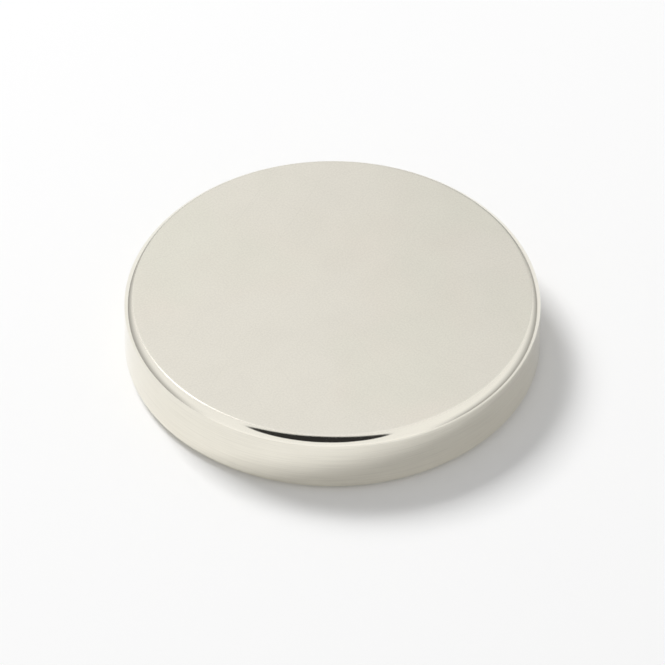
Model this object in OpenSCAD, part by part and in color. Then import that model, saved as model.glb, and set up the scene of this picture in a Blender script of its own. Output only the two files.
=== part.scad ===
// Disc magnet: one plated, sintered disc with two flat pole faces, a ground rim
// and a rounded edge where each face meets the rim.
// It lies on one pole face. The axis is +Z, and the origin is the centre of the lower face.

/* [Disc] */
// Outside diameter of the disc
disc_d = 12; // [6:0.5:30]
// Thickness from pole face to pole face
disc_t = 2; // [1:0.1:6]
// Radius of the rounded edge between each face and the rim
edge_r = 0.25; // [0.05:0.01:0.4]

/* [Hidden] */
$fn = 128;

// Radius of the flat part of each pole face, inside the rounded edge
face_r = disc_d / 2 - edge_r;
// Height of the straight wall that is left on the rim between the two rounded edges
rim_h = disc_t - 2 * edge_r;
// Warm white of the nickel plate
nickel = [0.80, 0.78, 0.73];

// Section of one rounded edge, as a full circle whose centre is one radius in from the rim
module edge_round(height) {
    translate([face_r, height])
        circle(r = edge_r);
}

// Half section of the disc: the full thickness out to the edge of the flat face,
// the rim wall between the rounds, and a round at each corner
module half_section() {
    square([face_r, disc_t]);
    translate([0, edge_r])
        square([disc_d / 2, rim_h]);
    edge_round(edge_r);
    edge_round(disc_t - edge_r);
}

// The whole magnet, its half section turned once round the axis
module magnet_disc() {
    color(nickel)
        rotate_extrude()
            half_section();
}

magnet_disc();
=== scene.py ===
import bpy
import math
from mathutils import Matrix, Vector


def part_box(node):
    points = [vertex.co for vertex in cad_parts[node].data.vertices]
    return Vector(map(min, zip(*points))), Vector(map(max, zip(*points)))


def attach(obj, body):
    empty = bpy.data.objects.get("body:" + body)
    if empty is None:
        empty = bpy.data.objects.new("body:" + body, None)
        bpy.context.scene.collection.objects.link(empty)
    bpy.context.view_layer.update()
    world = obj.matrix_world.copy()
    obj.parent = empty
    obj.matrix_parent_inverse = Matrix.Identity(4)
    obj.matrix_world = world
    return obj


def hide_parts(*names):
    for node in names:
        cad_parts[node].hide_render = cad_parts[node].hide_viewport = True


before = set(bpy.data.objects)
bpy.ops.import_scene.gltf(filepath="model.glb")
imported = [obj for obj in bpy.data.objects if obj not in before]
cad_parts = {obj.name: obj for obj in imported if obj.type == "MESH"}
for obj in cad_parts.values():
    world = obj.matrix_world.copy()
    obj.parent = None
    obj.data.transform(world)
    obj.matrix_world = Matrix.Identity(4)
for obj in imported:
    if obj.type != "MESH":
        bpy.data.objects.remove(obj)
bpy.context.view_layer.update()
bodyName = "root"
nodeName = "magnet_disc"
lowCorner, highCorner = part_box(nodeName)
discRadius = (highCorner.x - lowCorner.x) / 2
discHeight = highCorner.z - lowCorner.z
discMiddle = (lowCorner + highCorner) / 2
millimetre = 0.001
scene = bpy.context.scene
print("frame loaded, disc", round(discRadius * 2, 5), "by", round(discHeight, 5))


# small helpers for node trees

def addNode(tree, kind, inputs=None, **settings):
    node = tree.nodes.new(kind)
    for name, value in settings.items():
        setattr(node, name, value)
    for socket, value in (inputs or {}).items():
        plug(tree, node.inputs[socket], value)
    return node


def plug(tree, socket, value):
    if isinstance(value, bpy.types.NodeSocket):
        tree.links.new(value, socket)
    else:
        socket.default_value = value


def calc(tree, operation, *values):
    node = tree.nodes.new("ShaderNodeMath")
    node.operation = operation
    for socket, value in zip(node.inputs, values):
        plug(tree, socket, value)
    return node.outputs[0]


def remap(tree, value, fromLow, fromHigh, toLow=0.0, toHigh=1.0, smooth=False):
    node = tree.nodes.new("ShaderNodeMapRange")
    node.interpolation_type = "SMOOTHSTEP" if smooth else "LINEAR"
    for socket, number in zip(node.inputs, (value, fromLow, fromHigh, toLow, toHigh)):
        plug(tree, socket, number)
    return node.outputs[0]


def newMaterial(name):
    material = bpy.data.materials.new(name)
    material.use_nodes = True
    material.node_tree.nodes.clear()
    return material


# directions: azimuth 0 looks along +Y, and elevation is above the table, in degrees

def around(azimuth, elevation):
    a, e = math.radians(azimuth), math.radians(elevation)
    return Vector((math.sin(a) * math.cos(e), -math.cos(a) * math.cos(e), math.sin(e)))


def aimedAt(eye, target):
    return (target - eye).to_track_quat("-Z", "Y")


cameraLook = {
    "azimuth": -37.0,        # the disc is the same all round, so this only turns the studio
    "elevation": 43.3,       # degrees above the pole face, as the photographed faces are seen
    "distance": 0.48,        # forty diameters, a long lens from far off
    "frameWidth": 0.0192,    # what the frame takes in at the disc
    "lift": -0.0004,         # aims a little under the middle, to leave room for the shadow
    "nearest": 0.02,
    "farthest": 12.0,
}


def makeCamera(look):
    data = bpy.data.cameras.new("longLens")
    camera = bpy.data.objects.new("longLens", data)
    scene.collection.objects.link(camera)
    target = discMiddle + Vector((0, 0, look["lift"]))
    eye = target + around(look["azimuth"], look["elevation"]) * look["distance"]
    data.lens = data.sensor_width * look["distance"] / look["frameWidth"]
    data.clip_start, data.clip_end = look["nearest"], look["farthest"]
    camera.location = eye
    camera.rotation_mode = "QUATERNION"
    camera.rotation_quaternion = aimedAt(eye, target)
    scene.camera = camera


makeCamera(cameraLook)
print("camera placed")


discShape = {
    "Radius": discRadius,
    "Height": discHeight,
    "Edge Round": 0.25 * millimetre,       # radius between pole face and rim
    "Edge Power": 1.5,                     # 1 is a full round, 2 a straight chamfer
    "Turns": 360,                          # facets round the axis
    "Section Points": 97,                  # points along the section, pole to pole
    "Rim Share": 0.16,                     # how much of the section's points the straight rim takes
    "Round Share": 0.55,                   # the same, to the end of the rounded edge
    "Crowding": 1.7,                       # gathers the face's rings near its edge
    "Merge Distance": 0.0002 * millimetre,
    "Ripple Size": 1.1,                    # waves for each millimetre round the tumbled edge
    "Ripple Depth": 0.0011 * millimetre,
    "Ripple Detail": 1.0,
    "Ripple Fade": 0.12,                   # share of the face over which the ripple dies out
    "Ripple Seed": 4.0,
}


def discTree(shape, material):
    tree = bpy.data.node_groups.new("discFromSection", "GeometryNodeTree")
    tree.interface.new_socket("Geometry", in_out="OUTPUT", socket_type="NodeSocketGeometry")
    names = {}
    for name, value in shape.items():
        kind = "NodeSocketInt" if isinstance(value, int) else "NodeSocketFloat"
        names[name] = tree.interface.new_socket(name, in_out="INPUT", socket_type=kind).identifier
    given = addNode(tree, "NodeGroupInput").outputs

    # a sheet of one unit: X runs once round the axis, Y runs along the section from pole to pole
    sheet = addNode(tree, "GeometryNodeMeshGrid", {
        "Size X": 1.0,
        "Size Y": 1.0,
        "Vertices X": calc(tree, "ADD", given["Turns"], 1.0),
        "Vertices Y": given["Section Points"],
    })
    place = addNode(tree, "GeometryNodeInputPosition").outputs[0]
    part = addNode(tree, "ShaderNodeSeparateXYZ", {0: place}).outputs
    angle = calc(tree, "MULTIPLY", part["X"], math.tau)
    side = calc(tree, "SIGN", part["Y"])
    fromRim = calc(tree, "MULTIPLY", calc(tree, "ABSOLUTE", part["Y"]), 2.0)

    # shares of the three stretches: straight rim, rounded edge, flat face
    rimPart = remap(tree, fromRim, 0.0, given["Rim Share"])
    roundPart = remap(tree, fromRim, given["Rim Share"], given["Round Share"])
    facePart = remap(tree, fromRim, given["Round Share"], 1.0)
    bend = calc(tree, "MULTIPLY", roundPart, math.pi / 2)
    edgeOut = calc(tree, "POWER", calc(tree, "COSINE", bend), given["Edge Power"])
    edgeUp = calc(tree, "POWER", calc(tree, "SINE", bend), given["Edge Power"])
    faceRadius = calc(tree, "SUBTRACT", given["Radius"], given["Edge Round"])
    inward = calc(tree, "SUBTRACT", 1.0, calc(tree, "POWER", facePart, given["Crowding"]))
    out = calc(tree, "ADD",
               calc(tree, "MULTIPLY", faceRadius, inward),
               calc(tree, "MULTIPLY", given["Edge Round"], edgeOut))
    halfHeight = calc(tree, "MULTIPLY", given["Height"], 0.5)
    straight = calc(tree, "MULTIPLY", calc(tree, "SUBTRACT", halfHeight, given["Edge Round"]), rimPart)
    up = calc(tree, "ADD", straight, calc(tree, "MULTIPLY", given["Edge Round"], edgeUp))
    turned = addNode(tree, "ShaderNodeCombineXYZ", {
        0: calc(tree, "MULTIPLY", out, calc(tree, "COSINE", angle)),
        1: calc(tree, "MULTIPLY", out, calc(tree, "SINE", angle)),
        2: calc(tree, "ADD", halfHeight, calc(tree, "MULTIPLY", up, side)),
    }).outputs[0]

    # how far a point is into each stretch, kept for the finish
    edge = calc(tree, "SINE", calc(tree, "MULTIPLY", roundPart, math.pi))
    wall = calc(tree, "SUBTRACT", 1.0, roundPart)
    worked = sheet.outputs["Mesh"]
    for name, value in (("edgeRound", edge), ("rimWall", wall), ("faceInward", facePart)):
        keep = addNode(tree, "GeometryNodeStoreNamedAttribute",
                       {"Geometry": worked, "Name": name, "Value": value},
                       data_type="FLOAT", domain="POINT")
        worked = keep.outputs[0]
    shaped = addNode(tree, "GeometryNodeSetPosition", {"Geometry": worked, "Position": turned})
    closed = addNode(tree, "GeometryNodeMergeByDistance",
                     {"Geometry": shaped.outputs[0], "Distance": given["Merge Distance"]})

    # the tumbled edge and the ground rim are never quite true
    now = addNode(tree, "GeometryNodeInputPosition").outputs[0]
    wave = addNode(tree, "ShaderNodeTexNoise",
                   {"Vector": now, "W": given["Ripple Seed"], "Detail": given["Ripple Detail"],
                    "Scale": calc(tree, "DIVIDE", given["Ripple Size"], millimetre)},
                   noise_dimensions="4D")
    swing = remap(tree, wave.outputs[0], 0.0, 1.0, -1.0, 1.0)
    stored = addNode(tree, "GeometryNodeInputNamedAttribute", {"Name": "faceInward"}, data_type="FLOAT")
    offFace = remap(tree, stored.outputs["Attribute"], 0.0, given["Ripple Fade"], 1.0, 0.0, smooth=True)
    depth = calc(tree, "MULTIPLY", calc(tree, "MULTIPLY", swing, given["Ripple Depth"]), offFace)
    outward = addNode(tree, "GeometryNodeInputNormal").outputs[0]
    shift = addNode(tree, "ShaderNodeVectorMath", {0: outward, "Scale": depth}, operation="SCALE")
    rippled = addNode(tree, "GeometryNodeSetPosition",
                      {"Geometry": closed.outputs[0], "Offset": shift.outputs[0]})
    smooth = addNode(tree, "GeometryNodeSetShadeSmooth", {0: rippled.outputs[0]})
    real = addNode(tree, "GeometryNodeRealizeInstances", {0: smooth.outputs[0]})
    plated = addNode(tree, "GeometryNodeSetMaterial", {0: real.outputs[0], "Material": material})
    addNode(tree, "NodeGroupOutput", {0: plated.outputs[0]})
    return tree, names


def makeDisc(shape, material):
    tree, names = discTree(shape, material)
    holder = bpy.data.objects.new("discHolder", bpy.data.meshes.new("discHolder"))
    scene.collection.objects.link(holder)
    modifier = holder.modifiers.new("discFromSection", "NODES")
    modifier.node_group = tree
    for name, value in shape.items():
        modifier[names[name]] = value
    bpy.context.view_layer.update()
    evaluated = holder.evaluated_get(bpy.context.evaluated_depsgraph_get())
    mesh = bpy.data.meshes.new_from_object(evaluated)
    bpy.data.objects.remove(holder)
    mesh.name = "platedDisc"
    made = bpy.data.objects.new("platedDisc", mesh)
    scene.collection.objects.link(made)
    return made


plateFinish = {
    "warmWhite": (0.850, 0.817, 0.730, 1.0),  # the satin faces, and two tints that drift over them
    "rosyPatch": (0.852, 0.808, 0.717, 1.0),
    "greenishPatch": (0.835, 0.813, 0.717, 1.0),
    "rimWhite": (0.850, 0.818, 0.726, 1.0),   # the tumbled edge and the rim, without the tints
    "patchSize": 0.22,              # cloudy tints, patches for each millimetre
    "patchRange": (0.46, 0.66),     # where a patch begins and where it is full
    "patchSeeds": (1.0, 2.0),       # one for each tint
    "dulled": (0.560, 0.530, 0.465, 1.0),   # what grain, lines and dull clouds go towards
    "mottleSize": 0.9,              # dull clouds for each millimetre
    "mottleRange": (0.36, 0.64),
    "mottleSeed": 6.0,
    "mottleShade": 0.05,
    "grainSize": 19.0,              # plating grain for each millimetre
    "grainDepth": 0.00018 * millimetre,
    "grainRange": (0.32, 0.68),
    "grainSeed": 3.0,
    "grainShade": 0.15,
    "lapWidth": 30.0,               # lapping lines for each millimetre across, and along
    "lapLength": 0.12,
    "lapTurns": (14.0, 63.0, 101.0, 152.0),   # degrees, each also the seed of its lines
    "lapRange": (0.64, 0.76),
    "lapDepth": 0.00022 * millimetre,
    "lapShade": 0.10,
    "lapRoughness": 0.02,
    "grindPitch": 30.0,             # grinding lines round the rim for each millimetre of height
    "grindStretch": 0.5,            # the same along them
    "grindSeed": 5.0,
    "grindDepth": 0.00045 * millimetre,
    "grindRange": (0.48, 0.64),
    "grindShade": 0.18,
    "faceRoughness": 0.38,          # satin on the faces, brighter on the tumbled edge and the rim
    "edgeRoughness": 0.07,
    "unevenSize": 1.6,              # the roughness drifts a little over each face
    "unevenRange": (0.3, 0.7),
    "unevenSeed": 7.0,
    "uneven": 0.012,
    "fineDetail": 1.0,              # octaves in the noise of fine marks, of soft ones and of clouds
    "softDetail": 2.0,
    "cloudDetail": 3.0,
}


def makePlate(finish):
    material = newMaterial("satinNickelPlate")
    tree = material.node_tree
    place = addNode(tree, "ShaderNodeTexCoord").outputs["Object"]
    inMillimetres = addNode(tree, "ShaderNodeVectorMath",
                            {0: place, "Scale": 1.0 / millimetre}, operation="SCALE").outputs[0]
    edge = addNode(tree, "ShaderNodeAttribute", attribute_name="edgeRound").outputs["Fac"]
    wall = addNode(tree, "ShaderNodeAttribute", attribute_name="rimWall").outputs["Fac"]
    offFace = calc(tree, "MAXIMUM", edge, wall)
    onFace = calc(tree, "SUBTRACT", 1.0, offFace)

    def noise(vector, scale, detail, seed):
        return addNode(tree, "ShaderNodeTexNoise", {
            "Vector": vector, "W": seed, "Scale": scale, "Detail": finish[detail],
        }, noise_dimensions="4D").outputs[0]

    def blend(share, first, second):
        # sockets 6 and 7, and output 2, are a Mix node's colours
        return addNode(tree, "ShaderNodeMix", {0: share, 6: first, 7: second}, data_type="RGBA").outputs[2]

    # warm white with two faint tints, and a plain edge and rim
    tinted = finish["warmWhite"]
    for tint, seed in zip(("rosyPatch", "greenishPatch"), finish["patchSeeds"]):
        patches = remap(tree, noise(inMillimetres, finish["patchSize"], "softDetail", seed),
                        *finish["patchRange"], smooth=True)
        tinted = blend(patches, tinted, finish[tint])
    tinted = blend(offFace, tinted, finish["rimWhite"])

    # plating grain, crossed lapping lines on the faces, grinding lines round the rim
    grain = noise(inMillimetres, finish["grainSize"], "fineDetail", finish["grainSeed"])
    lines = 0.0
    for turn in finish["lapTurns"]:
        spun = addNode(tree, "ShaderNodeVectorRotate", {
            "Vector": inMillimetres, "Angle": math.radians(turn)}, rotation_type="Z_AXIS")
        drawn = addNode(tree, "ShaderNodeMapping", {
            0: spun.outputs[0], "Scale": (finish["lapLength"], finish["lapWidth"], 1.0)})
        line = remap(tree, noise(drawn.outputs[0], 1.0, "fineDetail", turn), *finish["lapRange"])
        lines = calc(tree, "MAXIMUM", lines, line)
    faceLines = calc(tree, "MULTIPLY", lines, onFace)
    drawn = addNode(tree, "ShaderNodeMapping", {
        0: inMillimetres, "Scale": (finish["grindStretch"], finish["grindStretch"], finish["grindPitch"])})
    grind = noise(drawn.outputs[0], 1.0, "softDetail", finish["grindSeed"])
    grind = calc(tree, "MULTIPLY", grind, wall)
    rimLines = calc(tree, "MULTIPLY", remap(tree, grind, *finish["grindRange"]), wall)
    height = calc(tree, "MULTIPLY", grain, finish["grainDepth"])
    height = calc(tree, "SUBTRACT", height, calc(tree, "MULTIPLY", faceLines, finish["lapDepth"]))
    height = calc(tree, "ADD", height, calc(tree, "MULTIPLY", grind, finish["grindDepth"]))
    bump = addNode(tree, "ShaderNodeBump", {"Strength": 1.0, "Distance": 1.0, "Height": height})

    # the same marks dull the colour
    speckle = calc(tree, "MULTIPLY", remap(tree, grain, *finish["grainRange"], smooth=True), onFace)
    mottle = remap(tree, noise(inMillimetres, finish["mottleSize"], "cloudDetail", finish["mottleSeed"]),
                   *finish["mottleRange"])
    dull = calc(tree, "MULTIPLY", speckle, finish["grainShade"])
    dull = calc(tree, "ADD", dull, calc(tree, "MULTIPLY", mottle, finish["mottleShade"]))
    dull = calc(tree, "ADD", dull, calc(tree, "MULTIPLY", faceLines, finish["lapShade"]))
    dull = calc(tree, "ADD", dull, calc(tree, "MULTIPLY", rimLines, finish["grindShade"]))

    base = remap(tree, offFace, 0.0, 1.0, finish["faceRoughness"], finish["edgeRoughness"])
    uneven = remap(tree, noise(inMillimetres, finish["unevenSize"], "cloudDetail", finish["unevenSeed"]),
                   *finish["unevenRange"], -finish["uneven"], finish["uneven"])
    rough = calc(tree, "ADD", calc(tree, "ADD", base, uneven),
                 calc(tree, "MULTIPLY", faceLines, finish["lapRoughness"]))
    shader = addNode(tree, "ShaderNodeBsdfPrincipled", {
        "Base Color": blend(dull, tinted, finish["dulled"]),
        "Metallic": 1.0,
        "Roughness": rough,
        "Normal": bump.outputs[0],
    })
    addNode(tree, "ShaderNodeOutputMaterial", {0: shader.outputs[0]})
    return material


disc = makeDisc(discShape, makePlate(plateFinish))
print("disc made,", len(disc.data.polygons), "faces")


floorLook = {
    "radius": 0.9,
    "sides": 96,
    "colour": (0.92, 0.92, 0.92, 1.0),
    "lift": 0.03,            # brings the lit floor up to white, for what sees it directly
}


def makeFloor(look):
    mesh = bpy.data.meshes.new("floor")
    ring = [(look["radius"] * math.cos(math.tau * k / look["sides"]),
             look["radius"] * math.sin(math.tau * k / look["sides"]),
             lowCorner.z) for k in range(look["sides"])]
    mesh.from_pydata(ring, [], [range(look["sides"])])
    floor = bpy.data.objects.new("floor", mesh)
    scene.collection.objects.link(floor)
    material = newMaterial("whiteTable")
    tree = material.node_tree
    matt = addNode(tree, "ShaderNodeBsdfDiffuse", {"Color": look["colour"]})
    glow = addNode(tree, "ShaderNodeEmission", {"Strength": calc(
        tree, "MULTIPLY", directRays(tree), look["lift"])})
    both = addNode(tree, "ShaderNodeAddShader", {0: matt.outputs[0], 1: glow.outputs[0]})
    addNode(tree, "ShaderNodeOutputMaterial", {0: both.outputs[0]})
    mesh.materials.append(material)


def directRays(tree):
    path = addNode(tree, "ShaderNodeLightPath").outputs
    seen = calc(tree, "MAXIMUM", path["Is Camera Ray"], path["Is Glossy Ray"])
    return calc(tree, "MAXIMUM", seen, path["Is Transmission Ray"])


# a grey card stands behind the disc for the plate to mirror, and shades one side of the face
cardLook = {
    "away": 0.050,           # from the disc, out of the frame
    "left": 0.004,
    "right": 0.030,
    "foot": 0.008,
    "top": 0.045,
    "grey": 0.40,
}


def makeCard(look):
    mesh = bpy.data.meshes.new("greyCard")
    back = around(cameraLook["azimuth"] + 180.0, 0.0)
    across = around(cameraLook["azimuth"] + 90.0, 0.0)
    corners = [discMiddle + back * look["away"] + across * look[side] + Vector((0, 0, look[level]))
               for side, level in (("left", "foot"), ("right", "foot"), ("right", "top"), ("left", "top"))]
    mesh.from_pydata(corners, [], [range(len(corners))])
    card = bpy.data.objects.new("greyCard", mesh)
    scene.collection.objects.link(card)
    material = newMaterial("greyCard")
    tree = material.node_tree
    grey = addNode(tree, "ShaderNodeEmission", {"Strength": look["grey"]})
    addNode(tree, "ShaderNodeOutputMaterial", {0: grey.outputs[0]})
    mesh.materials.append(material)
    card.visible_camera = False
    card.visible_diffuse = False
    card.visible_shadow = False


lampLook = {
    "azimuth": 223.0,        # round from the camera
    "elevation": 47.0,
    "distance": 0.42,
    "size": 0.17,
    "power": 1.34,           # watts
}
worldLook = {
    "white": (1.0, 1.0, 1.0, 1.0),
    "fill": 0.48,            # what the room adds to matt surfaces
    "room": 1.0,             # the white room, as the camera and the plate see it
    "horizon": 0.42,         # where its walls meet the table, for the plate only
    "horizonRise": 0.56,
    "front": 1.12,           # the same on the camera's side, lit by a low reflector
    "frontInner": 48.0,      # degrees out from the gap's middle
    "frontOuter": 80.0,
    "gapGrey": 0.03,         # the unlit gap on the camera's side, which draws the dark edge line
    "gapTurn": -9.0,         # degrees round from straight behind the camera, left is minus
    "gapHalf": 44.0,         # half its width
    "gapHeight": 0.79,       # its middle, as the upward share of a direction
    "gapReach": 0.178,        # half its height, the same way
    "gapSoft": 0.06,         # how softly its oval edge fades, as a share of its size
    "glow": 3.0,             # a bright window, which draws the white edge line
    "glowTurn": 236.0,       # degrees round from the camera, and up
    "glowRise": 56.0,
    "glowInner": 6.5,        # degrees out from its middle
    "glowOuter": 10.0,
}


def makeWorld(look):
    world = bpy.data.worlds.new("studio")
    scene.world = world
    world.use_nodes = True
    tree = world.node_tree
    tree.nodes.clear()
    toward = addNode(tree, "ShaderNodeTexCoord").outputs["Generated"]
    part = addNode(tree, "ShaderNodeSeparateXYZ", {0: toward}).outputs
    bearing = calc(tree, "ARCTAN2", part["X"], calc(tree, "MULTIPLY", part["Y"], -1.0))
    middle = math.radians(cameraLook["azimuth"] + look["gapTurn"])
    off = calc(tree, "ABSOLUTE", calc(tree, "SUBTRACT", bearing, middle))
    foot = remap(tree, off, math.radians(look["frontInner"]), math.radians(look["frontOuter"]),
                 look["front"], look["horizon"], smooth=True)
    room = remap(tree, part["Z"], 0.0, look["horizonRise"], foot, look["room"], smooth=True)
    share = addNode(tree, "ShaderNodeCombineXYZ", {
        0: calc(tree, "DIVIDE", off, math.radians(look["gapHalf"])),
        1: calc(tree, "DIVIDE", calc(tree, "SUBTRACT", part["Z"], look["gapHeight"]), look["gapReach"]),
    }).outputs[0]
    reach = addNode(tree, "ShaderNodeVectorMath", {0: share}, operation="LENGTH").outputs["Value"]
    inGap = remap(tree, reach, 1.0 + look["gapSoft"], 1.0 - look["gapSoft"], smooth=True)
    plateSees = remap(tree, inGap, 0.0, 1.0, room, look["gapGrey"])
    toWindow = around(cameraLook["azimuth"] + look["glowTurn"], look["glowRise"])
    near = addNode(tree, "ShaderNodeVectorMath", {0: toward, 1: toWindow},
                   operation="DOT_PRODUCT").outputs["Value"]
    inGlow = remap(tree, near, math.cos(math.radians(look["glowOuter"])),
                   math.cos(math.radians(look["glowInner"])), smooth=True)
    plateSees = remap(tree, inGlow, 0.0, 1.0, plateSees, look["glow"])
    path = addNode(tree, "ShaderNodeLightPath").outputs
    level = remap(tree, path["Is Camera Ray"], 0.0, 1.0, plateSees, look["room"])
    backdrop = addNode(tree, "ShaderNodeBackground", {"Color": look["white"], "Strength": level})
    fill = addNode(tree, "ShaderNodeBackground", {"Color": look["white"], "Strength": look["fill"]})
    mixed = addNode(tree, "ShaderNodeMixShader", {
        0: directRays(tree), 1: fill.outputs[0], 2: backdrop.outputs[0]})
    addNode(tree, "ShaderNodeOutputWorld", {0: mixed.outputs[0]})


def makeLamp(look):
    data = bpy.data.lights.new("softbox", "AREA")
    data.shape = "SQUARE"
    data.size = look["size"]
    data.energy = look["power"]
    lamp = bpy.data.objects.new("softbox", data)
    scene.collection.objects.link(lamp)
    turn = cameraLook["azimuth"] + look["azimuth"]
    lamp.location = discMiddle + around(turn, look["elevation"]) * look["distance"]
    lamp.rotation_mode = "QUATERNION"
    lamp.rotation_quaternion = aimedAt(lamp.location, discMiddle)
    lamp.visible_glossy = False


makeFloor(floorLook)
makeCard(cardLook)
makeWorld(worldLook)
makeLamp(lampLook)
scene.view_settings.view_transform = "Standard"
print("floor, card, world and lamp set")

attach(disc, bodyName)
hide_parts(nodeName)
